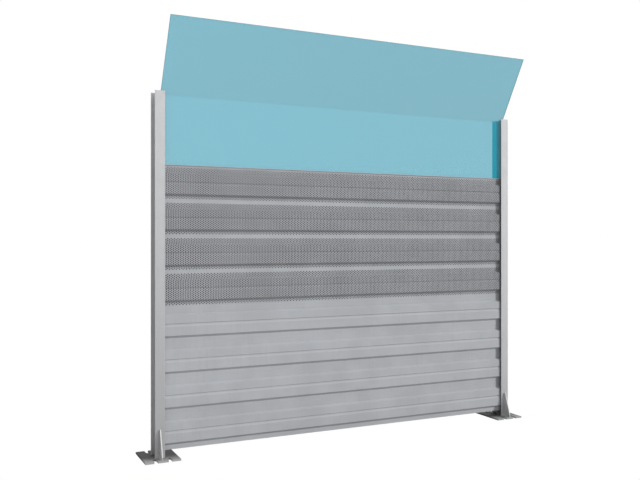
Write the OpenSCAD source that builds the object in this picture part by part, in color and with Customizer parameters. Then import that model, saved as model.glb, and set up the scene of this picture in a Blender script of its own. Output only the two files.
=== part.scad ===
// Noise barrier section: one bay of stacked acoustic cassettes between two I-section posts,
// with a clear screen above them that leans out over the front.
// X runs along the barrier, Y towards its rear and Z up. The origin is under the middle of
// the left post, level with the undersides of the base plates.

/* [Bay] */
// Distance between the centres of the two posts
post_spacing = 6000; // [3000:50:6100]
// Length of each post above its base plate
post_height = 5120; // [4600:10:5600]

/* [Post section] */
// Width of the flanges
flange_width = 142; // [120:1:180]
// Depth of the section, over both flanges
section_depth = 250; // [220:2:320]
// Thickness of each flange
flange_thickness = 13; // [9:0.5:18]
// Thickness of the web
web_thickness = 8; // [6:0.5:12]
// Radius between web and flange
root_radius = 12; // [6:1:18]

/* [Base plates] */
// Width of a base plate along the barrier
plate_width = 500; // [420:10:600]
// How far a base plate reaches beyond the front flange
plate_front_reach = 155; // [130:5:200]
// How far a base plate reaches beyond the rear flange
plate_rear_reach = 215; // [130:5:260]
// How far a base plate is set off the middle of its post, towards the bay
plate_inset = 11; // [0:1:14]
// Thickness of a base plate
plate_thickness = 25; // [15:1:40]
// Distance between the two anchor slots of one edge
slot_spacing = 200; // [190:5:240]
// Width of an anchor slot
slot_width = 50; // [20:2:60]
// Depth of an anchor slot from the plate's edge to its round end
slot_length = 125; // [60:5:150]
// Height of the gussets that brace the flanges
gusset_height = 400; // [200:10:600]
// How far a gusset reaches out from its flange, at its foot
gusset_reach = 142; // [80:2:155]
// How far a gusset reaches out at its top
gusset_land = 23; // [5:1:30]
// Height of a gusset's upright toe
gusset_toe = 42; // [10:1:60]
// Thickness of a gusset
gusset_thickness = 15; // [8:1:20]

/* [Cassettes] */
// Height taken by one cassette
cassette_pitch = 500; // [450:5:520]
// Open gap between the base plates and the lowest cassette
ground_gap = 89; // [60:1:150]
// Height that a rib stands proud of the cassette's flat face
rib_relief = 35; // [20:1:45]
// Depth of the shallow groove between the two ribs
groove_relief = 7; // [4:1:15]
// Thickness of the formed sheets
sheet_thickness = 2; // [1:0.5:3]
// Clearance between a rib and the flange in front of it, filled by the seal strip
seal_thickness = 14; // [6:0.5:20]
// Clearance between the root fillet of a post and the end of a cassette
end_clearance = 6; // [2:1:14]

/* [Screen] */
// Thickness of the clear sheet
screen_thickness = 15; // [10:1:20]
// Distance of the sheet's middle from the front of the posts
screen_setback = 56; // [48:1:70]
// Expansion gap between a post's web and the end of the sheet
screen_end_gap = 12; // [6:1:30]
// Clearance where the leaning part passes over the front flanges
canopy_clearance = 3; // [1:0.5:10]
// How far the leaning part rises above the bend
canopy_rise = 980; // [500:10:1200]
// Angle of the leaning part from the vertical
canopy_angle = 30; // [15:0.5:35]

/* [Hidden] */
$fn = 48;
perforated_count = 4;
plain_count = 4;
cassette_count = perforated_count + plain_count;

eps = 1;
left_x = 0;
right_x = post_spacing;

// Levels of the base plates' depth and of the main heights
plate_front_y = -section_depth / 2 - plate_front_reach;
plate_rear_y = section_depth / 2 + plate_rear_reach;
post_foot_z = plate_thickness;
post_top_z = post_foot_z + post_height;
stack_foot_z = post_foot_z + ground_gap;
stack_top_z = stack_foot_z + cassette_count * cassette_pitch;

// Depths of the main faces, all measured from the middle of the posts
flange_outer_y = section_depth / 2;
flange_inner_y = flange_outer_y - flange_thickness;
rib_y = flange_inner_y - seal_thickness;
flat_y = rib_y - rib_relief;
screen_y = screen_setback - flange_outer_y;
screen_room = flange_inner_y + screen_y - screen_thickness / 2 / cos(canopy_angle);
fold_z = post_top_z - (screen_room - canopy_clearance) / tan(canopy_angle);

// Cassettes
seat_fit = 0.3;
end_gap = web_thickness / 2 + root_radius + end_clearance;
cassette_height = cassette_pitch - seat_fit;
cassette_length = post_spacing - 2 * end_gap;
absorber_y = flat_y - sheet_thickness - seat_fit;

// Seats under the stack
flange_overhang = (flange_width - web_thickness) / 2;
seat_setback = 8;
seat_reach = flange_overhang - seat_setback;
seat_plate = 12;
seat_half_depth = flange_inner_y - root_radius;

// Seal strips, which lie between the ribs and the flanges
seal_setback = 2;
seal_width = flange_width / 2 - seal_setback - end_gap;

// Sill and edging around the clear sheet
sill_height = 7;
sill_floor = 3;
sill_half_depth = screen_thickness / 2 + 5.5;
sill_foot_z = stack_top_z;
screen_foot_z = sill_foot_z + sill_floor;
screen_end_x = web_thickness / 2 + screen_end_gap;
edging_cover = 18;
edging_back = 6.5;
edging_outer_x = web_thickness / 2 + seat_fit;
edging_front_y = -flange_inner_y + root_radius + seat_fit;
edging_foot_z = sill_foot_z + sill_height + seat_fit;

// The rib profile of a cassette, as [share of its height, depth] from bottom to top
rib_foot = 0.13;
rib_slope = 0.07;
groove_foot = 0.45;
groove_floor_low = 0.50;
groove_floor_high = 0.53;
groove_head = 0.545;
rib_head = 0.76;
rib_head_slope = 0.05;
rib_profile = [
    [0, flat_y],
    [rib_foot, flat_y],
    [rib_foot + rib_slope, rib_y],
    [groove_foot, rib_y],
    [groove_floor_low, rib_y - groove_relief],
    [groove_floor_high, rib_y - groove_relief],
    [groove_head, rib_y],
    [rib_head, rib_y],
    [rib_head + rib_head_slope, flat_y],
    [1, flat_y]
];
// The profile as [depth, height] points, moved in by trim and kept clear of both ends
function cassette_face(trim) = [
    for (p = rib_profile)
        [p[1] - trim, min(max(p[0] * cassette_height, trim), cassette_height - trim)]
];
function reversed(list) = [for (i = [len(list) - 1:-1:0]) list[i]];

// Lays a [depth, height] outline along the barrier
module along_x(length) {
    rotate([90, 0, 90]) linear_extrude(length) children();
}

// ---- Posts and their feet

// The plate under a post; inward is 1 at the left post and -1 at the right one
module base_plate(x, inward) {
    middle_x = x + inward * plate_inset;
    color("dimgray") translate([middle_x, 0, 0]) linear_extrude(plate_thickness) difference() {
        translate([-plate_width / 2, plate_front_y])
            square([plate_width, plate_rear_y - plate_front_y]);
        for (sx = [-1, 1]) translate([sx * slot_spacing / 2, 0]) {
            translate([0, plate_front_y]) anchor_slot(1);
            translate([0, plate_rear_y]) anchor_slot(-1);
        }
    }
}

// A slot that opens at the plate's edge and ends in a half round, pointing in by its direction
module anchor_slot(direction) {
    radius = slot_width / 2;
    straight = slot_length - radius;
    translate([-radius, direction > 0 ? -eps : -straight])
        square([slot_width, straight + eps]);
    translate([0, direction * straight]) circle(radius);
}

module i_section() {
    web_height = 2 * flange_inner_y;
    for (side = [-1, 1])
        translate([-flange_width / 2, side > 0 ? flange_inner_y : -flange_outer_y])
            square([flange_width, flange_thickness]);
    translate([-web_thickness / 2, -web_height / 2]) square([web_thickness, web_height]);
    for (sx = [0, 1], sy = [0, 1])
        mirror([sx, 0]) mirror([0, sy])
            translate([web_thickness / 2, -flange_inner_y]) root_fillet();
}

module root_fillet() {
    difference() {
        square(root_radius);
        translate([root_radius, root_radius]) circle(root_radius);
    }
}

module post(x) {
    color("silver") translate([x, 0, post_foot_z]) linear_extrude(post_height) i_section();
}

// A tapered plate on the middle of a flange; side is -1 at the front and 1 at the rear
module gusset(x, side) {
    outline = [[0, 0], [gusset_reach, 0], [gusset_reach, gusset_toe],
               [gusset_land, gusset_height], [0, gusset_height]];
    color("gray")
        translate([x - gusset_thickness / 2, side * flange_outer_y, post_foot_z])
            mirror([0, side > 0 ? 0 : 1, 0])
                along_x(gusset_thickness) polygon(outline);
}

// A bracket in the post's channel that carries the stack; side is 1 right of a post
module cassette_seat(x, side) {
    rise = ground_gap;
    color("gray") translate([x, 0, post_foot_z]) mirror([side > 0 ? 0 : 1, 0, 0])
        translate([web_thickness / 2, 0, 0]) {
            translate([0, -seat_half_depth, rise - seat_plate])
                cube([seat_reach, 2 * seat_half_depth, seat_plate]);
            translate([0, -seat_plate / 2, 0])
                cube([seat_reach, seat_plate, rise - seat_plate + eps]);
        }
}

// ---- Cassettes

// Places a cassette piece at its level, counted from the bottom of the stack
module at_level(level) {
    translate([end_gap, 0, stack_foot_z + (level - 1) * cassette_pitch]) children();
}

// One ribbed sheet with its top and bottom returns, open towards the middle of the barrier
module ribbed_sheet() {
    along_x(cassette_length) polygon(concat(
        [[0, 0]], cassette_face(0), [[0, cassette_height]],
        [[0, cassette_height - sheet_thickness]], reversed(cassette_face(sheet_thickness)),
        [[0, sheet_thickness]]
    ));
}

module cassette_front(level) {
    at_level(level) mirror([0, 1, 0]) ribbed_sheet();
}

module cassette_back(level) {
    at_level(level) ribbed_sheet();
}

module plain_cassette_front(i) {
    color("darkgray") cassette_front(i);
}

module plain_cassette_back(i) {
    color("darkgray") cassette_back(i);
}

module perforated_cassette_front(i) {
    color("gray") cassette_front(plain_count + i);
}

module perforated_cassette_back(i) {
    color("darkgray") cassette_back(plain_count + i);
}

// The slab of mineral wool inside a perforated cassette
module absorber(i) {
    side_gap = 10;
    color("darkslategray") at_level(plain_count + i)
        translate([side_gap, -absorber_y, sheet_thickness])
            cube([cassette_length - 2 * side_gap, 2 * absorber_y,
                  cassette_height - 2 * sheet_thickness - seat_fit]);
}

// A strip between the ribs and a flange; inward is 1 right of a post and -1 left of it
module seal(x, inward, side) {
    color("black") translate([x, 0, stack_foot_z]) mirror([inward > 0 ? 0 : 1, 0, 0])
        translate([end_gap, side > 0 ? rib_y : -flange_inner_y, 0])
            cube([seal_width, seal_thickness, cassette_count * cassette_pitch - seat_fit]);
}

// ---- Clear screen

module screen_sill() {
    half_groove = screen_thickness / 2 + seat_fit;
    color("silver") translate([end_gap, screen_y, sill_foot_z]) along_x(cassette_length)
        difference() {
            translate([-sill_half_depth, 0]) square([2 * sill_half_depth, sill_height]);
            translate([-half_groove, sill_floor])
                square([2 * half_groove, sill_height]);
        }
}

// A rubber channel on the upright part's edge, clear of the root fillets
module screen_edging(x, inward) {
    half_groove = screen_thickness / 2 + seat_fit;
    groove_x = screen_end_x - seat_fit;
    rear_y = screen_y + half_groove + edging_back;
    color("dimgray") translate([x, 0, edging_foot_z])
        mirror([inward > 0 ? 0 : 1, 0, 0])
            linear_extrude(fold_z - edging_foot_z - 2 * screen_thickness) difference() {
                translate([edging_outer_x, edging_front_y])
                    square([groove_x + edging_cover - edging_outer_x,
                            rear_y - edging_front_y]);
                translate([groove_x, screen_y - half_groove])
                    square([edging_cover + eps, 2 * half_groove]);
            }
}

// One clear sheet: upright between the posts, then bent forward over the traffic side
module clear_screen() {
    half = screen_thickness / 2;
    upright = fold_z - screen_foot_z;
    lean = canopy_rise * tan(canopy_angle);
    // Half the bend's angle sets where the two parts' faces meet
    mitre = half * tan(canopy_angle / 2);
    edge = [half * cos(canopy_angle), half * sin(canopy_angle)];
    color("lightblue", 0.6) translate([screen_end_x, screen_y, screen_foot_z])
        along_x(post_spacing - 2 * screen_end_x) polygon([
            [-half, 0], [half, 0],
            [half, upright + mitre],
            [-lean + edge[0], upright + canopy_rise + edge[1]],
            [-lean - edge[0], upright + canopy_rise - edge[1]],
            [-half, upright - mitre]
        ]);
}

// ---- Assembly

base_plate(left_x, 1);  // base_plate_left
base_plate(right_x, -1);  // base_plate_right
post(left_x);  // post_left
post(right_x);  // post_right
gusset(left_x, -1);  // front_gusset_left
gusset(right_x, -1);  // front_gusset_right
gusset(left_x, 1);  // rear_gusset_left
gusset(right_x, 1);  // rear_gusset_right
cassette_seat(left_x, 1);  // cassette_seat_left
cassette_seat(right_x, -1);  // cassette_seat_right
for (i = [1:plain_count]) {
    plain_cassette_front(i);
    plain_cassette_back(i);
}
for (i = [1:perforated_count]) {
    perforated_cassette_front(i);
    perforated_cassette_back(i);
    absorber(i);
}
seal(left_x, 1, -1);  // front_seal_left
seal(right_x, -1, -1);  // front_seal_right
seal(left_x, 1, 1);  // rear_seal_left
seal(right_x, -1, 1);  // rear_seal_right
screen_sill();
screen_edging(left_x, 1);  // screen_edging_left
screen_edging(right_x, -1);  // screen_edging_right
clear_screen();
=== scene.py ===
"""Dresses one bay of a roadside noise barrier.

The bay has two I-section posts on slotted base plates, eight ribbed cassettes between them,
the upper four perforated, and a teal sheet on top that leans out over the front. All lengths
are in metres, X runs along the barrier, Y to its rear and Z up.
"""

from __future__ import annotations

import logging
import math
from dataclasses import dataclass, field
from enum import Enum
from functools import cache
from itertools import product
from typing import Any, Sequence

import bmesh
import bpy
import numpy as np
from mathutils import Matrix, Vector

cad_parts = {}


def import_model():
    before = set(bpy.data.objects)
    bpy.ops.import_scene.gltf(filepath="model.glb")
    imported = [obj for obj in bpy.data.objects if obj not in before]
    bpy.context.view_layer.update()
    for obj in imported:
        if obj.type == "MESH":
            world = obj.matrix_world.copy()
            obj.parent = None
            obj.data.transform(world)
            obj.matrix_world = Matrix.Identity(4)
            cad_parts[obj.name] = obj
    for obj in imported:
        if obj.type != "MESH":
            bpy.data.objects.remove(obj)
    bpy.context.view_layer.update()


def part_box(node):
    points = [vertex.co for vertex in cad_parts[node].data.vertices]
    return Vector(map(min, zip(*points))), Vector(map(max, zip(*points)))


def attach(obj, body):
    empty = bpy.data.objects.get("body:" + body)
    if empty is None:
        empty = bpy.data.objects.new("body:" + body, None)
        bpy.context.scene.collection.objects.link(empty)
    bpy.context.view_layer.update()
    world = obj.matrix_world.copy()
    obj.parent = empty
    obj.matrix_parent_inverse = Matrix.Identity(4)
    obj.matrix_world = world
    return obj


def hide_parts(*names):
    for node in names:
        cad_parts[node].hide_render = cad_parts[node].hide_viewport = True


LOG = logging.getLogger("noise_barrier")
BODY = "root"
WHITE = (1.0, 1.0, 1.0, 1.0)
SHARP_EDGE = math.radians(40)

Points = np.ndarray
Colour = tuple[float, float, float]


class Side(Enum):
    """The two ends of the bay."""

    LEFT = "left"
    RIGHT = "right"

    @property
    def inward(self) -> int:
        """The sign of the X direction that leads into the bay."""
        return 1 if self is Side.LEFT else -1


class Facing(Enum):
    """The two faces of the barrier."""

    FRONT = "front"
    REAR = "rear"

    @property
    def sign(self) -> int:
        """The sign of the Y direction that the face looks in."""
        return -1 if self is Facing.FRONT else 1


class Axis(Enum):
    """The axis that a profile is carried along, with the axes its outline lies in."""

    ALONG = (0, 1, 2)
    UP = (2, 0, 1)


# ---- Mesh making


def fillet(corners: Points, radius: float | Points, steps: int, closed: bool) -> Points:
    """Round the corners of an outline.

    Each corner gives way to an arc that touches both of its edges. With the turn angle t
    between the edges, the arc starts radius * tan(t / 2) before the corner, and its points
    turn evenly about its centre.

    Args:
        corners: N by 2 array of corner points.
        radius: One radius, or one for each corner.
        steps: Number of chords in each arc.
        closed: Whether the last corner joins the first; if not, both ends stay as they are.

    Returns:
        The outline's new points, as an M by 2 array.
    """
    radius = np.broadcast_to(np.asarray(radius, float), len(corners))
    before = np.roll(corners, 1, axis=0)
    after = np.roll(corners, -1, axis=0)
    come = (corners - before) / np.linalg.norm(corners - before, axis=1, keepdims=True)
    leave = (after - corners) / np.linalg.norm(after - corners, axis=1, keepdims=True)
    turn = np.arctan2(
        come[:, 0] * leave[:, 1] - come[:, 1] * leave[:, 0], (come * leave).sum(axis=1)
    )
    reach = radius * np.abs(np.tan(turn / 2))
    normal = np.stack([-come[:, 1], come[:, 0]], axis=1) * np.sign(turn)[:, None]
    start = corners - come * reach[:, None]
    share = np.linspace(0, 1, steps + 1)[None, :]
    angle = np.abs(turn)[:, None] * share
    along = (radius[:, None] * np.sin(angle))[..., None] * come[:, None, :]
    across = (radius[:, None] * (1 - np.cos(angle)))[..., None] * normal[:, None, :]
    arcs = start[:, None, :] + along + across
    if closed:
        return arcs.reshape(-1, 2)
    return np.concatenate([corners[:1], arcs[1:-1].reshape(-1, 2), corners[-1:]])


def make_mesh(
    name: str, points: Points, faces: Sequence[Points], smooth: bool = False
) -> bpy.types.Object:
    """Put points and faces into a new mesh object at the origin.

    Args:
        name: Name of the piece.
        points: N by 3 array of vertices.
        faces: Arrays of vertex indices, one row a face, one array for each corner count.
        smooth: Whether the faces shade into each other.

    Returns:
        The new object, linked to the scene.
    """
    faces = [np.asarray(block, np.int32) for block in faces if len(block)]
    counts = np.concatenate([np.full(len(block), block.shape[1], np.int32) for block in faces])
    loops = np.concatenate([block.ravel() for block in faces])
    mesh = bpy.data.meshes.new(name)
    mesh.vertices.add(len(points))
    mesh.vertices.foreach_set("co", np.asarray(points, np.float32).ravel())
    mesh.loops.add(len(loops))
    mesh.loops.foreach_set("vertex_index", loops)
    mesh.polygons.add(len(counts))
    mesh.polygons.foreach_set("loop_start", np.concatenate([[0], np.cumsum(counts)[:-1]]))
    mesh.update(calc_edges=True)
    mesh.validate()
    if not smooth:
        mesh.shade_flat()
    piece = bpy.data.objects.new(name, mesh)
    bpy.context.collection.objects.link(piece)
    return piece


def run_length(line: Points) -> Points:
    """Return how far along a line each of its points lies."""
    return np.concatenate([[0.0], np.cumsum(np.linalg.norm(np.diff(line, axis=0), axis=1))])


def rows_of(*corners: Sequence[Points]) -> Points:
    """Turn sets of corner indices into rows, one row a face."""
    return np.concatenate([np.stack(each, axis=1) for each in corners])


def loft(name: str, points: Points, smooth: bool = False) -> bpy.types.Object:
    """Skin a row of closed rings and close both ends.

    Args:
        name: Name of the piece.
        points: Rings by count by 3 array of vertices.
        smooth: Whether the faces shade into each other.

    Returns:
        The solid.
    """
    rings, count = points.shape[:2]
    ring, step = np.meshgrid(np.arange(rings - 1), np.arange(count), indexing="ij")
    here = ring * count + step
    ahead = ring * count + (step + 1) % count
    sides = np.stack([here, ahead, ahead + count, here + count], axis=-1).reshape(-1, 4)
    ends = np.stack([np.arange(count)[::-1], np.arange(count) + (rings - 1) * count])
    return make_mesh(name, points.reshape(-1, 3), [sides, ends], smooth)


def carry(name: str, outline: Points, stations: Sequence[float], axis: Axis) -> bpy.types.Object:
    """Carry a closed outline along an axis and close both ends.

    A point is the outline's point in the plane across the axis, and a station along it.

    Args:
        name: Name of the piece.
        outline: N by 2 array, counter-clockwise in the plane's own two axes.
        stations: Rising places along the axis, one ring of points at each.
        axis: The axis and its plane.

    Returns:
        The solid.
    """
    main, first, second = axis.value
    points = np.empty((len(stations), len(outline), 3))
    points[..., main] = np.asarray(stations, float)[:, None]
    points[..., first] = outline[:, 0]
    points[..., second] = outline[:, 1]
    return loft(name, points)


def break_edges(piece: bpy.types.Object, width: float, segments: int = 2, slot: int = -1) -> None:
    """Round a solid's sharp edges a little.

    Args:
        piece: The solid.
        width: Width of the rounding.
        segments: Facets across the rounding.
        slot: Material slot of the rounding, or -1 to take it from the faces beside it.
    """
    bevel = piece.modifiers.new("broken edges", "BEVEL")
    bevel.width = width
    bevel.segments = segments
    bevel.limit_method = "ANGLE"
    bevel.angle_limit = SHARP_EDGE
    bevel.material = slot


def turn_outwards(piece: bpy.types.Object) -> None:
    """Turn every face of a closed piece outwards.

    Args:
        piece: The piece.
    """
    work = bmesh.new()
    work.from_mesh(piece.data)
    bmesh.ops.recalc_face_normals(work, faces=work.faces)
    work.to_mesh(piece.data)
    work.free()


def dress(piece: bpy.types.Object, finish: Finish, replaces: Sequence[str] = ()) -> None:
    """Give a piece its material and body, and hide the CAD nodes that it stands for.

    Args:
        piece: The piece.
        finish: Its finish.
        replaces: CAD nodes that it replaces.
    """
    piece.data.materials.clear()
    piece.data.materials.append(finish.material())
    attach(piece, BODY)
    if replaces:
        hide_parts(*replaces)
    LOG.info("%s: %d faces", piece.name, len(piece.data.polygons))


# ---- Node graphs


class Graph:
    """Adds nodes to a node tree and wires them as it goes."""

    def __init__(self, tree: bpy.types.NodeTree) -> None:
        """Start on an empty tree."""
        self.tree = tree

    def node(self, kind: str, inputs: dict[Any, Any] | None = None, **settings: Any) -> Any:
        """Add one node.

        Args:
            kind: The node's type name, without the ShaderNode prefix.
            inputs: Socket name or index to a value, or to the socket that feeds it.
            settings: Attributes of the node.

        Returns:
            The node.
        """
        prefix = "" if kind.startswith("Node") else "ShaderNode"
        node = self.tree.nodes.new(prefix + kind)
        for name, value in settings.items():
            setattr(node, name, value)
        for key, value in (inputs or {}).items():
            self.feed(node.inputs[key], value)
        return node

    def feed(self, target: bpy.types.NodeSocket, value: Any) -> None:
        """Wire a socket to the one that feeds it, or set its constant."""
        if isinstance(value, bpy.types.NodeSocket):
            self.tree.links.new(value, target)
        else:
            target.default_value = value

    def place(self) -> bpy.types.NodeSocket:
        """Return the place on the object, in metres."""
        return self.node("TexCoord").outputs["Object"]

    def drawn(self, place: Any, scale: tuple[float, float, float]) -> bpy.types.NodeSocket:
        """Return a place scaled along each axis; a small scale draws a pattern out."""
        return self.node("Mapping", {"Vector": place, "Scale": scale}).outputs[0]

    def effect(self, tree: bpy.types.NodeTree, **inputs: float) -> bpy.types.Node:
        """Add a shared effect with its inputs set, and return its node."""
        return self.node("Group", inputs, node_tree=tree)

    def math(self, operation: str, *values: Any) -> bpy.types.NodeSocket:
        """Add a Math node on the given values and return its result."""
        return self.node("Math", dict(enumerate(values)), operation=operation).outputs[0]

    def span(self, value: Any, low: float, high: float, to_low: float, to_high: float) -> Any:
        """Map a value from one range to another, smoothly and clamped, and return it."""
        inputs = {0: value, 1: low, 2: high, 3: to_low, 4: to_high}
        return self.node("MapRange", inputs, interpolation_type="SMOOTHSTEP").outputs[0]

    def blend(self, factor: Any, first: Any, second: Any) -> bpy.types.NodeSocket:
        """Blend two colours by a factor and return the result."""
        node = self.node("Mix", {"Factor": factor}, data_type="RGBA")
        for key, value in ((6, first), (7, second)):
            wired = isinstance(value, bpy.types.NodeSocket)
            self.feed(node.inputs[key], value if wired else (*value, 1.0))
        return node.outputs[2]

    def noise(self, vector: Any, scale: Any, detail: float = 3.0) -> bpy.types.NodeSocket:
        """Add a noise texture on a vector and return its value."""
        inputs = {"Vector": vector, "Scale": scale, "Detail": detail}
        return self.node("TexNoise", inputs).outputs[0]


class Effects:
    """The shader node groups that several finishes share, each built once."""

    @staticmethod
    def _group(name: str, inputs: dict[str, float], outputs: Sequence[str]) -> Any:
        """Start a group with float inputs and outputs, and return its graph and ends."""
        tree = bpy.data.node_groups.new(name, "ShaderNodeTree")
        for label, value in inputs.items():
            socket = tree.interface.new_socket(label, in_out="INPUT", socket_type="NodeSocketFloat")
            socket.default_value = value
        for label in outputs:
            tree.interface.new_socket(label, in_out="OUTPUT", socket_type="NodeSocketFloat")
        graph = Graph(tree)
        return graph, graph.node("NodeGroupInput").outputs, graph.node("NodeGroupOutput").inputs

    @staticmethod
    @cache
    def zinc_bloom() -> bpy.types.NodeTree:
        """Crystals and soft clouds of a hot-dip zinc coat.

        Returns:
            A group from Scale (crystals a metre) to Tone, from 0 to 1, and Height.
        """
        graph, inputs, outputs = Effects._group("zinc bloom", {"Scale": 60.0}, ["Tone", "Height"])
        place = graph.place()
        crystals = graph.node("TexVoronoi", {"Vector": place, "Scale": inputs["Scale"]})
        facet = graph.node("SeparateColor", {0: crystals.outputs["Color"]}).outputs[0]
        clouds = graph.noise(place, 5.0, 4.0)
        tone = graph.math("MULTIPLY_ADD", facet, 0.55, graph.math("MULTIPLY", clouds, 0.45))
        graph.feed(outputs["Tone"], tone)
        graph.feed(outputs["Height"], crystals.outputs["Distance"])
        return graph.tree

    @staticmethod
    @cache
    def rain_streaks() -> bpy.types.NodeTree:
        """Faint upright streaks that rain leaves on a wall.

        The mask is noise that is stretched along Z and thinned by a second, broader noise.

        Returns:
            A group from Width (streaks a metre) to Mask, from 0 to 1.
        """
        graph, inputs, outputs = Effects._group("rain streaks", {"Width": 22.0}, ["Mask"])
        place = graph.place()
        drawn = graph.drawn(place, (1.0, 1.0, 0.035))
        thin = graph.span(graph.noise(drawn, inputs["Width"], 4.0), 0.48, 0.72, 0.0, 1.0)
        broad = graph.span(graph.noise(drawn, 2.6, 2.0), 0.35, 0.65, 0.15, 1.0)
        graph.feed(outputs["Mask"], graph.math("MULTIPLY", thin, broad))
        return graph.tree

    @staticmethod
    @cache
    def road_dust() -> bpy.types.NodeTree:
        """Dust thrown up from the road, thickest at the foot of the barrier.

        The mask falls from 1 at the ground to 0 at the reach, and noise frays its upper edge.

        Returns:
            A group from Reach in metres to Mask, from 0 to 1.
        """
        graph, inputs, outputs = Effects._group("road dust", {"Reach": 1.2}, ["Mask"])
        place = graph.place()
        height = graph.node("SeparateXYZ", {0: place}).outputs[2]
        frayed = graph.math("MULTIPLY_ADD", graph.noise(place, 9.0, 5.0), 0.5, height)
        share = graph.math("DIVIDE", frayed, inputs["Reach"])
        fall = graph.math("SUBTRACT", 1.0, share)
        mask = graph.node("Clamp", {0: graph.math("MULTIPLY", fall, graph.math("ABSOLUTE", fall))})
        graph.feed(outputs["Mask"], mask.outputs[0])
        return graph.tree


# ---- Finishes


def tint(colour: Colour, factor: float | Colour) -> Colour:
    """Multiply a colour by one factor, or by one for each channel, and stop at white."""
    return tuple(min(1.0, float(c * f)) for c, f in zip(colour, np.broadcast_to(factor, 3)))


@dataclass(frozen=True)
class Finish:
    """What every finish has: the material's name, its slot and the base colour."""

    name: str
    slot: str
    colour: Colour

    def material(self) -> bpy.types.Material:
        """Return the finish's material, made on the first call."""
        found = bpy.data.materials.get(self.name)
        if found:
            return found
        made = bpy.data.materials.new(self.name)
        made.use_nodes = True
        made.node_tree.nodes.clear()
        graph = Graph(made.node_tree)
        shader = graph.node("BsdfPrincipled")
        graph.node("OutputMaterial", {"Surface": shader.outputs[0]})
        self.paint(graph, shader)
        return made

    def paint(self, graph: Graph, shader: bpy.types.Node) -> None:
        """Wire the finish's colour, roughness and bump into the shader."""
        raise NotImplementedError

    def coat(
        self, graph: Graph, shader: bpy.types.Node, colour: Any, roughness: Any, height: Any,
        depth: float,
    ) -> None:
        """Feed the colour, the roughness and a bump into the shader.

        Args:
            graph: The material's graph.
            shader: Its Principled shader.
            colour: Socket with the base colour.
            roughness: Socket with the roughness, or a constant.
            height: Socket with the height of the bump, from 0 to 1.
            depth: Height in metres that 1 stands for.
        """
        graph.feed(shader.inputs["Base Color"], colour)
        graph.feed(shader.inputs["Roughness"], roughness)
        bump = graph.node("Bump", {"Height": height, "Distance": depth, "Strength": 1.0})
        graph.feed(shader.inputs["Normal"], bump.outputs[0])


@dataclass(frozen=True)
class ZincCoat(Finish):
    """Weathered hot-dip galvanised steel."""

    roughness: float = 0.45
    metal: float = 0.5
    crystals: float = 150.0
    contrast: float = 0.06
    dust: float = 0.2
    dust_reach: float = 1.1
    relief: float = 0.0004

    def paint(self, graph: Graph, shader: bpy.types.Node) -> None:
        """Cloud the zinc with its crystals, rain streaks and road dust."""
        zinc = graph.effect(Effects.zinc_bloom(), Scale=self.crystals)
        streaks = graph.effect(Effects.rain_streaks()).outputs[0]
        dust = graph.effect(Effects.road_dust(), Reach=self.dust_reach).outputs[0]
        light = tint(self.colour, 1 + self.contrast)
        dark = tint(self.colour, 1 - self.contrast)
        metal = graph.blend(zinc.outputs["Tone"], dark, light)
        washed = graph.blend(graph.math("MULTIPLY", streaks, 0.25), metal, dark)
        dusty = tint(self.colour, (0.62, 0.60, 0.56))
        soiled = graph.blend(graph.math("MULTIPLY", dust, self.dust), washed, dusty)
        rough = graph.span(
            zinc.outputs["Tone"], 0.2, 0.8, self.roughness + 0.08, self.roughness - 0.08
        )
        shader.inputs["Metallic"].default_value = self.metal
        self.coat(graph, shader, soiled, rough, zinc.outputs["Height"], self.relief)


@dataclass(frozen=True)
class ShadedPlate(ZincCoat):
    """Galvanised base plates in a darker copy of the zinc, with painted shade that deepens towards
    the rear behind the wall.
    """

    front: float = -0.29
    back: float = 0.06
    fray: float = 0.06
    darkening: float = 0.90

    def paint(self, graph: Graph, shader: bpy.types.Node) -> None:
        """Paint shade on the zinc, darker from the front edge towards the rear, along a frayed line.
        """
        super().paint(graph, shader)
        unshaded = shader.inputs["Base Color"].links[0].from_socket
        place = graph.place()
        depth = graph.node("SeparateXYZ", {0: place}).outputs[1]
        frayed = graph.math("MULTIPLY_ADD", graph.noise(place, 16.0, 5.0), self.fray, depth)
        # Painted shade: the top darkens towards the rear, where the wall and posts keep the light
        # off.
        painted_shade = graph.span(frayed, self.front, self.back, 0.0, self.darkening)
        shade_colour = tint(self.colour, 0.12)
        graph.feed(shader.inputs["Base Color"], graph.blend(painted_shade, unshaded, shade_colour))
        shader.inputs["Specular IOR Level"].default_value = 0.15


@dataclass(frozen=True)
class CoatedSheet(Finish):
    """Powder-coated aluminium sheet, satin, with a fine orange peel."""

    roughness: float = 0.48
    dust: float = 0.22
    dust_reach: float = 1.6
    peel: float = 0.00012

    def paint(self, graph: Graph, shader: bpy.types.Node) -> None:
        """Lay faint clouds, streaks and dust on the coat."""
        place = graph.place()
        clouds = graph.noise(place, 2.3, 5.0)
        light, dark = tint(self.colour, 1.05), tint(self.colour, 0.95)
        coat = graph.blend(graph.span(clouds, 0.3, 0.7, 0.0, 1.0), dark, light)
        streaks = graph.effect(Effects.rain_streaks(), Width=30.0).outputs[0]
        washed = tint(self.colour, 0.72)
        streaked = graph.blend(graph.math("MULTIPLY", streaks, 0.16), coat, washed)
        dust = graph.effect(Effects.road_dust(), Reach=self.dust_reach).outputs[0]
        dusty = tint(self.colour, (0.80, 0.77, 0.72))
        soiled = graph.blend(graph.math("MULTIPLY", dust, self.dust), streaked, dusty)
        rough = graph.span(clouds, 0.3, 0.7, self.roughness - 0.05, self.roughness + 0.07)
        self.coat(graph, shader, soiled, rough, graph.noise(place, 420.0, 2.0), self.peel)


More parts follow.
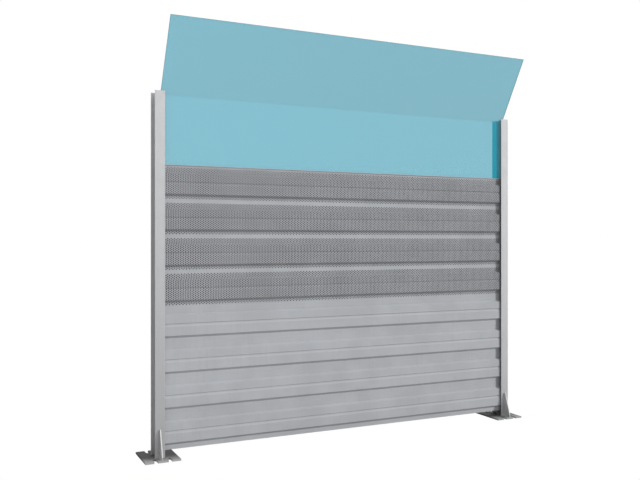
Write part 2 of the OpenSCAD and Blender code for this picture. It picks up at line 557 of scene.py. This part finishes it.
@dataclass(frozen=True)
class MineralWool(Finish):
    """Dark-faced mineral wool."""

    roughness: float = 0.95
    pile: float = 0.002

    def paint(self, graph: Graph, shader: bpy.types.Node) -> None:
        """Mat the wool from two directions of drawn-out noise."""
        place = graph.place()
        one, other = graph.drawn(place, (1.0, 1.0, 7.0)), graph.drawn(place, (7.0, 1.0, 1.0))
        fibres = graph.math("ADD", graph.noise(one, 90.0), graph.noise(other, 90.0))
        light = tint(self.colour, 1.8)
        shade = graph.blend(graph.span(fibres, 0.8, 1.2, 0.0, 1.0), self.colour, light)
        self.coat(graph, shader, shade, self.roughness, fibres, self.pile)


@dataclass(frozen=True)
class WeatheredRubber(Finish):
    """Black rubber profile with a chalky skin."""

    grain: float = 0.0002

    def paint(self, graph: Graph, shader: bpy.types.Node) -> None:
        """Chalk the rubber with clouds and fine grain."""
        place = graph.place()
        clouds = graph.noise(place, 14.0, 5.0)
        chalky = tint(self.colour, 2.2)
        shade = graph.blend(graph.span(clouds, 0.45, 0.75, 0.0, 0.6), self.colour, chalky)
        rough = graph.span(clouds, 0.3, 0.7, 0.62, 0.85)
        self.coat(graph, shader, shade, rough, graph.noise(place, 600.0, 2.0), self.grain)


@dataclass(frozen=True)
class DrawnAluminium(Finish):
    """Mill-finish aluminium rail, with die lines along its length."""

    metal: float = 0.4
    line_depth: float = 0.0001

    def paint(self, graph: Graph, shader: bpy.types.Node) -> None:
        """Draw the die lines along X and cloud the oxide."""
        place = graph.place()
        drawn = graph.drawn(place, (0.02, 1.0, 1.0))
        lines = graph.noise(drawn, 900.0, 2.0)
        light, dark = tint(self.colour, 1.08), tint(self.colour, 0.88)
        shade = graph.blend(graph.span(lines, 0.3, 0.7, 0.0, 1.0), dark, light)
        rough = graph.span(graph.noise(place, 7.0, 4.0), 0.3, 0.7, 0.38, 0.52)
        shader.inputs["Metallic"].default_value = self.metal
        self.coat(graph, shader, shade, rough, lines, self.line_depth)


@dataclass(frozen=True)
class TintedAcrylic(Finish):
    """Tinted acrylic that lets part of the light straight through, with a faint film of dust."""

    opacity: float = 0.525
    film: float = 0.06

    def paint(self, graph: Graph, shader: bpy.types.Node) -> None:
        """Tint the sheet, and film it with faint streaks that also dull it."""
        streaks = graph.effect(Effects.rain_streaks(), Width=12.0).outputs[0]
        filmed = tint(self.colour, 0.93)
        shade = graph.blend(graph.math("MULTIPLY", streaks, 0.5), self.colour, filmed)
        graph.feed(shader.inputs["Base Color"], shade)
        rough = graph.span(streaks, 0.0, 1.0, 0.08, 0.08 + self.film)
        graph.feed(shader.inputs["Roughness"], rough)
        shader.inputs["Alpha"].default_value = self.opacity
        shader.inputs["IOR"].default_value = 1.49
        shader.inputs["Specular IOR Level"].default_value = 0.12


POST_ZINC = ZincCoat("post zinc", "galvanised_post", (0.565, 0.57, 0.578), metal=0.71)
# A lighter copy of the post zinc: painted light for the gussets' lit faces.
LIT_GUSSET_ZINC = ZincCoat("gusset zinc painted lighter", "galvanised_post", (0.66, 0.665, 0.672), metal=0.71)
# A darker copy of the zinc, painted for the shade on the plates' tops.
SHADED_PLATE_ZINC = ShadedPlate(
    "plate zinc in painted shade", "galvanised_plate", (0.43, 0.43, 0.436), roughness=0.7, metal=0.08
)
# A dark copy of the zinc: painted shade for the seats deep in the posts' channels.
SHADED_SEAT_ZINC = ZincCoat("seat zinc in painted shade", "galvanised_plate", (0.20, 0.20, 0.205), metal=0.15)
PLAIN_COAT = CoatedSheet("plain sheet coat", "plain_sheet", (0.405, 0.416, 0.437))
PERFORATED_COAT = CoatedSheet("perforated sheet coat", "perforated_sheet", (0.405, 0.416, 0.437))
WOOL = MineralWool("faced mineral wool", "mineral_wool", (0.010, 0.010, 0.011))
RUBBER = WeatheredRubber("barrier rubber", "rubber_seal", (0.022, 0.022, 0.024))
RAIL = DrawnAluminium("rail aluminium", "rail", (0.50, 0.52, 0.54))
CLEAR = TintedAcrylic("tinted acrylic", "clear_sheet", (0.013, 0.347, 0.460))
CLEAR_EDGE = TintedAcrylic(
    "acrylic cut edge", "clear_sheet", (0.03, 0.22, 0.29), opacity=0.85, film=0.2
)


# ---- Posts


@dataclass
class Post:
    """A post with its base plate, gussets and the weld beads that join them."""

    side: Side
    flange_thickness: float = 0.013
    web_thickness: float = 0.008
    root_radius: float = 0.012
    tip_radius: float = 0.002
    slot_spacing: float = 0.200
    slot_width: float = 0.050
    slot_length: float = 0.125
    gusset_land: float = 0.023
    gusset_toe: float = 0.042
    root_steps: int = 5
    slot_steps: int = 16
    plate_rounding: float = 0.0015
    gusset_rounding: float = 0.001
    weld_leg: float = 0.007
    weld_step: float = 0.003
    weld_facets: int = 4
    weld_bulge: float = 0.72
    toe_stop: float = 0.004
    seam_stop: float = 0.020
    ripple: float = 0.0008
    ripple_steps: int = 3
    low: Vector = field(init=False)
    high: Vector = field(init=False)

    def __post_init__(self) -> None:
        """Take the post's place from its CAD node."""
        self.low, self.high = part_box(f"post_{self.side.value}")

    def section(self) -> Points:
        """Outline the I-section, counter-clockwise, with round tips and root fillets.

        Returns:
            The outline in X and Y.
        """
        half_width = (self.high.x - self.low.x) / 2
        half_depth = self.high.y
        inner = half_depth - self.flange_thickness
        web = self.web_thickness / 2
        quarter = np.array([[web, inner], [half_width, inner], [half_width, half_depth]])
        radii = np.array([self.root_radius, self.tip_radius, self.tip_radius])
        flip_x, flip_y = np.array([-1, 1]), np.array([1, -1])
        corners = np.concatenate([
            quarter, (quarter * flip_x)[::-1], -quarter, (quarter * flip_y)[::-1]
        ])
        all_radii = np.concatenate([radii, radii[::-1], radii, radii[::-1]])
        outline = fillet(corners, all_radii, self.root_steps, closed=True)
        return outline + np.array([(self.low.x + self.high.x) / 2, 0.0])

    def plate_outline(self) -> Points:
        """Outline the base plate with its four open-ended slots, counter-clockwise.

        A slot's end is a half circle, and one edge with its two slots is turned half a turn
        about the plate's middle for the other edge.

        Returns:
            The outline in X and Y.
        """
        low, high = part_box(f"base_plate_{self.side.value}")
        half_width, half_depth = (high.x - low.x) / 2, (high.y - low.y) / 2
        radius = self.slot_width / 2
        turn = np.linspace(math.pi, 0, self.slot_steps + 1)
        arc = np.stack([np.cos(turn), np.sin(turn)], axis=1) * radius
        end = np.array([0.0, -half_depth + self.slot_length - radius])
        mouth = np.array([[-radius, -half_depth], [radius, -half_depth]])
        centres = np.array([[-1.0, 0.0], [1.0, 0.0]]) * self.slot_spacing / 2
        slot = np.concatenate([mouth[:1], arc + end, mouth[1:]])
        corners = np.array([[-half_width, -half_depth], [half_width, -half_depth]])
        edge = np.concatenate([corners[:1], *(slot + centre for centre in centres), corners[1:]])
        middle = np.array([(low.x + high.x) / 2, (low.y + high.y) / 2])
        return np.concatenate([edge, -edge]) + middle

    def bead(self, name: str, path: Points, first: Points, second: Points) -> None:
        """Lay a rippled fillet weld along a straight path, and dress it.

        The cross-section is a shallow arc from one leg's toe to the other's. Its legs grow
        and shrink by a small sine along the path, which gives the ripples of a weld.

        Args:
            name: Name of the piece.
            path: N by 3 array, the inner corner that the weld fills, one point a step.
            first: The direction of one leg.
            second: The direction of the other leg.
        """
        wave = np.sin(np.arange(len(path)) * 2 * math.pi / self.ripple_steps)
        legs = self.weld_leg + self.ripple * wave
        turn = np.linspace(0, math.pi / 2, self.weld_facets + 1)
        arc = np.stack([np.cos(turn), np.sin(turn)], axis=1) ** (1 / self.weld_bulge)
        shape = np.concatenate([[[0.0, 0.0]], arc])
        spread = shape[:, :1] * first + shape[:, 1:] * second
        weld = loft(name, path[:, None] + legs[:, None, None] * spread, smooth=True)
        turn_outwards(weld)
        dress(weld, POST_ZINC)

    def build(self) -> None:
        """Build and dress the post, its plate, its gussets and their welds."""
        label = self.side.value
        body = carry(f"i_post_{label}", self.section(), [self.low.z, self.high.z], Axis.UP)
        dress(body, POST_ZINC, [f"post_{label}"])
        low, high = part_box(f"base_plate_{label}")
        plate = carry(f"slotted_plate_{label}", self.plate_outline(), [low.z, high.z], Axis.UP)
        break_edges(plate, self.plate_rounding)
        dress(plate, SHADED_PLATE_ZINC, [f"base_plate_{label}"])
        for facing in Facing:
            self.build_gusset(facing)
        for facing, sign in product(Facing, (-1, 1)):
            self.build_welds(facing, sign)

    def build_gusset(self, facing: Facing) -> None:
        """Build one tapered gusset with an upright toe in its CAD node's box.

        Args:
            facing: The flange that it stands on.
        """
        node = f"{facing.value}_gusset_{self.side.value}"
        low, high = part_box(node)
        root, tip = (high.y, low.y) if facing is Facing.FRONT else (low.y, high.y)
        land = root + facing.sign * self.gusset_land
        outline = np.array([
            [root, low.z], [tip, low.z], [tip, low.z + self.gusset_toe], [land, high.z],
            [root, high.z],
        ])
        if facing is Facing.FRONT:
            outline = outline[::-1]
        name = f"{facing.value}_brace_{self.side.value}"
        gusset = carry(name, outline, [low.x, high.x], Axis.ALONG)
        break_edges(gusset, self.gusset_rounding)
        dress(gusset, LIT_GUSSET_ZINC, [node])

    def build_welds(self, facing: Facing, sign: int) -> None:
        """Lay the two weld beads on one side of a gusset, along its foot and its root.

        Args:
            facing: The flange that the gusset stands on.
            sign: The sign of the X direction that the gusset's side looks in.
        """
        low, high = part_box(f"{facing.value}_gusset_{self.side.value}")
        edge = low.x if sign < 0 else high.x
        foot, face = self.low.z, self.high.y * facing.sign
        ending = f"{self.side.value}_{'a' if sign < 0 else 'b'}"
        aside = np.array([sign, 0.0, 0.0])
        away = np.array([0.0, facing.sign, 0.0])
        upwards = np.array([0.0, 0.0, 1.0])
        along = np.arange(self.weld_leg, high.y - low.y - self.toe_stop, self.weld_step)
        toe = np.stack(np.broadcast_arrays(edge, face + facing.sign * along, foot), axis=1)
        self.bead(f"{facing.value}_toe_weld_{ending}", toe, aside, upwards)
        up = np.arange(foot + self.weld_leg, high.z - self.seam_stop, self.weld_step)
        seam = np.stack(np.broadcast_arrays(edge, face, up), axis=1)
        self.bead(f"{facing.value}_seam_weld_{ending}", seam, away, aside)


# ---- Cassettes


@dataclass
class RibProfile:
    """The ribbed face of a cassette, from its bottom edge to its top edge."""

    relief: float = 0.035
    groove: float = 0.007
    thickness: float = 0.002
    shares: tuple[float, ...] = (0.0, 0.13, 0.20, 0.45, 0.50, 0.53, 0.545, 0.76, 0.81, 1.0)

    def depths(self) -> Points:
        """Return how far each profile point stands proud of the flat face."""
        rib, floor = self.relief, self.relief - self.groove
        return np.array([0.0, 0.0, rib, rib, floor, floor, rib, rib, 0.0, 0.0])

    def face(self, node: str, facing: Facing, inset: float = 0.0) -> Points:
        """Place the profile in a CAD node's box.

        Args:
            node: The sheet's CAD node.
            facing: The face of the barrier that it is on.
            inset: How far the line lies inside the sheet's outer face and its two ends.

        Returns:
            Points in Y and Z, from bottom to top.
        """
        low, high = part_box(node)
        proud = low.y if facing is Facing.FRONT else high.y
        y = proud - facing.sign * (self.relief - self.depths() + inset)
        z = low.z + np.array(self.shares) * (high.z - low.z)
        return np.stack([y, np.clip(z, low.z + inset, high.z - inset)], axis=1)


@dataclass
class PlainSheet:
    """One roll-formed sheet with its two returns, for the plain faces of the cassettes."""

    node: str
    facing: Facing
    finish: Finish
    profile: RibProfile = field(default_factory=RibProfile)
    bend_radius: float = 0.0015
    bend_steps: int = 3

    def outline(self) -> Points:
        """Outline the sheet's cross-section with rounded bends, counter-clockwise in Y and Z.

        Returns:
            The outline.
        """
        low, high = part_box(self.node)
        rear = high.y if self.facing is Facing.FRONT else low.y
        outer = self.profile.face(self.node, self.facing)
        inner = self.profile.face(self.node, self.facing, self.profile.thickness)
        skins = []
        for line, radius in ((outer, self.bend_radius), (inner, self.bend_radius / 2)):
            whole = np.concatenate([[[rear, line[0, 1]]], line, [[rear, line[-1, 1]]]])
            skins.append(fillet(whole, radius, self.bend_steps, closed=False))
        loop = np.concatenate([skins[0], skins[1][::-1]])
        return loop[::-1] if self.facing is Facing.FRONT else loop

    def build(self) -> None:
        """Build and dress the sheet."""
        low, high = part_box(self.node)
        sheet = carry(self.node + "_formed", self.outline(), [low.x, high.x], Axis.ALONG)
        dress(sheet, self.finish, [self.node])


@dataclass
class PerforatedSheet:
    """A ribbed sheet with staggered round holes, cut through its whole face.

    The sheet is worked out flat and then bent. Rows of the flat pattern are half a hole
    pitch apart, and every bend of the profile lies on a row, so a hole that sits on a bend
    is creased along its middle.
    """

    node: str
    profile: RibProfile = field(default_factory=RibProfile)
    hole_radius: float = 0.0098
    column_pitch: float = 0.0244
    row_pitch: float = 0.0143
    edge_margin: float = 0.020
    side_margin: float = 0.042
    hole_sides: int = 8

    def rows(self, face: Points) -> Points:
        """Divide the profile into rows.

        Each stretch between two bends is divided into equal rows, as near to the row pitch
        as whole numbers allow. One plain row follows at either end for the margins.

        Args:
            face: The outer profile in Y and Z, from bottom to top.

        Returns:
            Row places as lengths along the profile.
        """
        length = run_length(face)
        marks = length.copy()
        marks[0] += self.edge_margin
        marks[-1] -= self.edge_margin
        counts = np.maximum(1, np.round(np.diff(marks) / self.row_pitch)).astype(int)
        pierced = [
            np.linspace(a, b, n, endpoint=False) for a, b, n in zip(marks, marks[1:], counts)
        ]
        return np.concatenate([length[:1], *pierced, marks[-1:], length[-1:]])

    def columns(self, low: float, high: float) -> Points:
        """Divide the length into columns of one hole each, with a plain one at either end.

        Args:
            low: The sheet's left end.
            high: Its right end.

        Returns:
            The columns' edges.
        """
        inner_low, inner_high = low + self.side_margin, high - self.side_margin
        count = round((inner_high - inner_low) / self.column_pitch)
        return np.concatenate([[low], np.linspace(inner_low, inner_high, count + 1), [high]])

    def skins(self, row_s: Points, col_x: Points, hole_row: Points, hole_col: Points) -> Points:
        """Place the vertices of both skins.

        A skin has the grid of rows and columns, with the returns' rear edges before and
        after it, and then the rings of its holes. A place on the flat pattern is bent onto
        the skin by taking Y and Z from the skin's line at the same length.

        Args:
            row_s: Row places along the profile.
            col_x: Column edges.
            hole_row: The row that each hole is centred on.
            hole_col: The column that each hole is in.

        Returns:
            The vertices, the outer skin's first.
        """
        rear_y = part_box(self.node)[1].y
        face = self.profile.face(self.node, Facing.FRONT)
        back = self.profile.face(self.node, Facing.FRONT, self.profile.thickness)
        run = run_length(face)
        angle = np.arange(self.hole_sides) * 2 * math.pi / self.hole_sides
        centre_x = (col_x[hole_col] + col_x[hole_col + 1]) / 2
        ring_x = centre_x[:, None] + self.hole_radius * np.cos(angle)
        ring_s = row_s[hole_row][:, None] + self.hole_radius * np.sin(angle)
        grid_s, grid_x = np.meshgrid(row_s, col_x, indexing="ij")
        blocks: list[Points] = []
        for line in (face, back):
            grid, rings = (
                np.stack([x, np.interp(s, run, line[:, 0]), np.interp(s, run, line[:, 1])], axis=-1)
                for s, x in ((grid_s, grid_x), (ring_s, ring_x))
            )
            rear = grid[[0, -1]].copy()
            rear[..., 1] = rear_y
            blocks += [block.reshape(-1, 3) for block in (rear[:1], grid, rear[1:], rings)]
        return np.concatenate(blocks)

    def faces(self, lines: int, cols: int, hole_row: Points, hole_col: Points) -> list[Points]:
        """Index the faces of both skins, the walls of the holes and the sheet's edge.

        A hole takes the place of the two grid cells above and below its centre, where four
        quads and six triangles join its ring of eight points to the cells' corners.

        Args:
            lines: Number of rows in the grid, with those of the rear edges.
            cols: Number of column edges.
            hole_row: The row of the grid that each hole is centred on.
            hole_col: The column that each hole is in.

        Returns:
            The quads and the triangles.
        """
        corner = np.arange(lines * cols).reshape(lines, cols)
        ring = corner.size + np.arange(len(hole_row) * self.hole_sides).reshape(-1, self.hole_sides)
        shift = corner.size + ring.size
        l_mid, r_mid = corner[hole_row, hole_col], corner[hole_row, hole_col + 1]
        l_top, r_top = corner[hole_row + 1, hole_col], corner[hole_row + 1, hole_col + 1]
        l_low, r_low = corner[hole_row - 1, hole_col], corner[hole_row - 1, hole_col + 1]
        r = ring.T
        covered = np.zeros((lines - 1, cols - 1), bool)
        covered[hole_row, hole_col] = True
        covered[hole_row - 1, hole_col] = True
        row, col = np.nonzero(~covered)
        skin = rows_of(
            (r_mid, r_top, r[1], r[0]), (l_top, l_mid, r[4], r[3]),
            (l_mid, l_low, r[5], r[4]), (r_low, r_mid, r[0], r[7]),
            (corner[row, col], corner[row, col + 1], corner[row + 1, col + 1], corner[row + 1, col]),
        )
        tris = rows_of(
            (r_top, r[2], r[1]), (r_top, l_top, r[2]), (l_top, r[3], r[2]),
            (l_low, r[6], r[5]), (l_low, r_low, r[6]), (r_low, r[7], r[6]),
        )
        ahead = np.roll(ring, -1, axis=1)
        walls = np.stack([ring, ahead, ahead + shift, ring + shift], axis=-1).reshape(-1, 4)
        rim = np.concatenate([
            corner[0, ::-1], corner[1:-1, 0], corner[-1, :], corner[-2:0:-1, -1]
        ])
        rim_ahead = np.roll(rim, -1)
        edge = rows_of((rim, rim_ahead, rim_ahead + shift, rim + shift))
        return [
            np.concatenate([skin, skin[:, ::-1] + shift, walls, edge]),
            np.concatenate([tris, tris[:, ::-1] + shift]),
        ]

    def build(self) -> None:
        """Build the sheet from its two skins, hole walls and edges, and dress it.

        In column c the holes are centred on every second row, beginning with c's parity.
        """
        low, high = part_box(self.node)
        row_s = self.rows(self.profile.face(self.node, Facing.FRONT))
        col_x = self.columns(low.x, high.x)
        row, col = np.meshgrid(
            np.arange(2, len(row_s) - 2), np.arange(1, len(col_x) - 2), indexing="ij"
        )
        chosen = (row + col) % 2 == 0
        row, col = row[chosen], col[chosen]
        sheet = make_mesh(
            self.node + "_pierced", self.skins(row_s, col_x, row, col),
            self.faces(len(row_s) + 2, len(col_x), row + 1, col),
        )
        dress(sheet, PERFORATED_COAT, [self.node])
        LOG.info("%s has %d holes", self.node, len(row))


@dataclass
class CassetteStack:
    """The eight cassettes, their seats and the seal strips in the posts' channels."""

    each_kind: int = 4

    def build(self) -> None:
        """Build every cassette from the ground up, then dress the seats and seals."""
        for number in range(1, self.each_kind + 1):
            PlainSheet(f"plain_cassette_front_{number}", Facing.FRONT, PLAIN_COAT).build()
            PlainSheet(f"plain_cassette_back_{number}", Facing.REAR, PLAIN_COAT).build()
        for number in range(1, self.each_kind + 1):
            PerforatedSheet(f"perforated_cassette_front_{number}").build()
            PlainSheet(f"perforated_cassette_back_{number}", Facing.REAR, PLAIN_COAT).build()
            paint_node(f"absorber_{number}", WOOL)
        for side in Side:
            paint_node(f"cassette_seat_{side.value}", SHADED_SEAT_ZINC)
            for facing in Facing:
                paint_node(f"{facing.value}_seal_{side.value}", RUBBER)


def paint_node(node: str, finish: Finish) -> None:
    """Give a CAD node that stays in the picture its material.

    Args:
        node: The node's name.
        finish: Its finish.
    """
    mesh = bpy.data.objects[node].data
    mesh.materials.clear()
    mesh.materials.append(finish.material())
    LOG.info("%s: CAD node in %s", node, finish.name)


# ---- Clear screen


@dataclass
class ClearScreen:
    """The bent sheet with the rail and edging that hold it."""

    thickness: float = 0.015
    rise: float = 0.980
    lean: float = math.radians(30)
    bend_radius: float = 0.060
    bend_steps: int = 24
    groove_floor: float = 0.003
    groove_play: float = 0.0003
    polish: float = 0.003
    rail_rounding: float = 0.0012
    edging_rounding: float = 0.0015
    corner_steps: int = 3

    def sheet_lines(self) -> tuple[Points, Points]:
        """Work out the sheet's front and rear lines across the barrier.

        Both run parallel to the middle line, which is upright, turns by the lean angle on
        an arc and goes on straight. Along the arc a point is the arc's centre plus its
        radius, larger by half the thickness behind the sheet and smaller in front of it.

        Returns:
            The front line and the rear line in Y and Z, from bottom to top.
        """
        low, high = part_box("clear_screen")
        half = self.thickness / 2
        middle = high.y - half
        reach = self.bend_radius * math.tan(self.lean / 2)
        fold = high.z - half * math.sin(self.lean) - self.rise
        centre = np.array([middle - self.bend_radius, fold - reach])
        turn = np.linspace(0, self.lean, self.bend_steps + 1)
        spoke = np.stack([np.cos(turn), np.sin(turn)], axis=1)
        away = np.array([-math.sin(self.lean), math.cos(self.lean)])
        # The leaning part ends where its rear upper corner meets the top of the box
        length = (high.z - centre[1] - (self.bend_radius + half) * spoke[-1, 1]) / away[1]
        lines = []
        for radius in (self.bend_radius - half, self.bend_radius + half):
            arc = centre + radius * spoke
            foot = [[arc[0, 0], low.z]]
            lines.append(np.concatenate([foot, arc, [arc[-1] + away * length]]))
        return lines[0], lines[1]

    def build_sheet(self) -> None:
        """Build the sheet, with its cut edges in a deeper tint."""
        low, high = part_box("clear_screen")
        front, rear = self.sheet_lines()
        outline = np.concatenate([rear, front[::-1]])
        count = len(outline)
        sheet = carry("bent_clear_sheet", outline, [low.x, high.x], Axis.ALONG)
        dress(sheet, CLEAR, ["clear_screen"])
        sheet.data.materials.append(CLEAR_EDGE.material())
        slots = np.zeros(len(sheet.data.polygons), np.int32)
        # The last faces are the two ends; the others go once round the outline
        slots[-2:] = 1
        slots[len(rear) - 1] = 1
        slots[count - 1] = 1
        sheet.data.polygons.foreach_set("material_index", slots)
        break_edges(sheet, self.polish, 1, slot=1)

    def build_sill(self) -> None:
        """Build the grooved rail under the sheet."""
        low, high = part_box("screen_sill")
        half = self.thickness / 2 + self.groove_play
        middle = (low.y + high.y) / 2
        floor = low.z + self.groove_floor
        corners = np.array([
            [low.y, low.z], [high.y, low.z], [high.y, high.z], [middle + half, high.z],
            [middle + half, floor], [middle - half, floor], [middle - half, high.z],
            [low.y, high.z],
        ])
        outline = fillet(corners, self.rail_rounding, self.corner_steps, closed=True)
        rail = carry("grooved_sill", outline, [low.x, high.x], Axis.ALONG)
        dress(rail, RAIL, ["screen_sill"])

    def build_edging(self, side: Side) -> None:
        """Build the rubber channel on one upright edge of the sheet.

        Args:
            side: The end of the bay.
        """
        node = f"screen_edging_{side.value}"
        low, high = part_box(node)
        sheet_low, sheet_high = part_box("clear_screen")
        half = self.thickness / 2 + self.groove_play
        middle = sheet_high.y - self.thickness / 2
        inward = side.inward
        back, mouth = (low.x, high.x) if inward > 0 else (high.x, low.x)
        floor = (sheet_low.x if inward > 0 else sheet_high.x) - inward * self.groove_play
        corners = np.array([
            [back, low.y], [mouth, low.y], [mouth, middle - half], [floor, middle - half],
            [floor, middle + half], [mouth, middle + half], [mouth, high.y], [back, high.y],
        ])
        if inward < 0:
            corners = corners[::-1]
        outline = fillet(corners, self.edging_rounding, self.corner_steps, closed=True)
        edging = carry(f"edging_channel_{side.value}", outline, [low.z, high.z], Axis.UP)
        dress(edging, RUBBER, [node])

    def build(self) -> None:
        """Build the sheet, its sill and both edgings."""
        self.build_sheet()
        self.build_sill()
        for side in Side:
            self.build_edging(side)


# ---- Studio


@dataclass(frozen=True)
class Studio:
    """The pale floor, the soft light and the camera."""

    eye: tuple[float, float, float] = (-2.598, -10.715, 3.061)
    heading: float = math.radians(25.554)
    lens: float = 43.18
    sun_azimuth: float = math.radians(50)
    sun_elevation: float = math.radians(20)
    sun_strength: float = 2.6
    sun_softness: float = math.radians(6)
    sky: float = 0.55
    gloss_level: float = 0.74
    gloss_rise: float = 3.6
    gloss_side: float = 0.90
    gloss_least: float = 0.02
    gloss_most: float = 1.35
    floor_size: float = 400.0
    floor_tone: float = 0.35

    def build(self) -> None:
        """Set up the floor, the lights, the backdrop and the camera."""
        self.build_floor()
        self.build_sun()
        self.build_sky()
        self.build_camera()

    def build_floor(self) -> None:
        """Lay a white floor that shows almost no shadow."""
        half = self.floor_size / 2
        corners = np.array([[-half, -half, 0], [half, -half, 0], [half, half, 0], [-half, half, 0]])
        floor = make_mesh("studio_floor", corners, [np.array([[0, 1, 2, 3]])])
        paint = bpy.data.materials.new("studio floor")
        paint.use_nodes = True
        paint.node_tree.nodes.clear()
        graph = Graph(paint.node_tree)
        seen = graph.node("LightPath")
        tone = self.floor_tone
        plain = graph.node("BsdfDiffuse", {"Color": (tone, tone, tone, 1.0)})
        white = graph.node("Emission", {"Color": WHITE, "Strength": 1.0})
        direct = graph.math("SUBTRACT", 1.0, seen.outputs["Is Diffuse Ray"])
        mix = graph.node("MixShader", {0: direct, 1: plain.outputs[0], 2: white.outputs[0]})
        graph.node("OutputMaterial", {"Surface": mix.outputs[0]})
        floor.data.materials.append(paint)
        floor.visible_glossy = False

    def build_sun(self) -> None:
        """Hang one soft sun to the right of the front."""
        sun = bpy.data.lights.new("soft sun", "SUN")
        sun.energy = self.sun_strength
        sun.angle = self.sun_softness
        lamp = bpy.data.objects.new("soft sun", sun)
        lamp.visible_glossy = False
        lamp.visible_transmission = False
        bpy.context.collection.objects.link(lamp)
        flat = math.cos(self.sun_elevation)
        towards = Vector((
            flat * math.sin(self.sun_azimuth), -flat * math.cos(self.sun_azimuth),
            math.sin(self.sun_elevation),
        ))
        lamp.rotation_euler = towards.to_track_quat("Z", "Y").to_euler()

    def build_sky(self) -> None:
        """Light the rest from a white sky, with a brightness of its own for sheen.

        A surface that mirrors the sky sees it rise from dark below to bright above, and
        brighter towards the right.
        """
        world = bpy.data.worlds.new("white sky")
        world.use_nodes = True
        world.node_tree.nodes.clear()
        graph = Graph(world.node_tree)
        seen = graph.node("LightPath")
        way = graph.node("SeparateXYZ", {0: graph.node("TexCoord").outputs["Generated"]})
        side = graph.math("MULTIPLY_ADD", way.outputs[0], self.gloss_side, self.gloss_level)
        rise = graph.math("MULTIPLY_ADD", way.outputs[2], self.gloss_rise, side)
        gloss = graph.node("Clamp", {0: rise, 1: self.gloss_least, 2: self.gloss_most}).outputs[0]
        strength = graph.math("MULTIPLY_ADD", seen.outputs["Is Diffuse Ray"], self.sky - 1.0, 1.0)
        extra = graph.math("SUBTRACT", gloss, 1.0)
        strength = graph.math("MULTIPLY_ADD", seen.outputs["Is Glossy Ray"], extra, strength)
        sky = graph.node("Background", {"Color": WHITE, "Strength": strength})
        graph.node("OutputWorld", {"Surface": sky.outputs[0]})
        bpy.context.scene.world = world
        bpy.context.scene.view_settings.view_transform = "Standard"

    def build_camera(self) -> None:
        """Stand the camera at the left front, level, looking along the barrier."""
        data = bpy.data.cameras.new("viewpoint")
        data.lens = self.lens
        data.sensor_width = 36.0
        data.clip_end = 1000.0
        camera = bpy.data.objects.new("viewpoint", data)
        bpy.context.collection.objects.link(camera)
        camera.location = self.eye
        camera.rotation_euler = (math.pi / 2, 0.0, -self.heading)
        bpy.context.scene.camera = camera


def main() -> None:
    """Build the bay from the ground up, then the studio round it."""
    logging.basicConfig(level=logging.INFO, format="%(name)s: %(message)s")
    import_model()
    for side in Side:
        Post(side).build()
    CassetteStack().build()
    ClearScreen().build()
    Studio().build()
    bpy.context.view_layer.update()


if __name__ == "__main__":
    main()
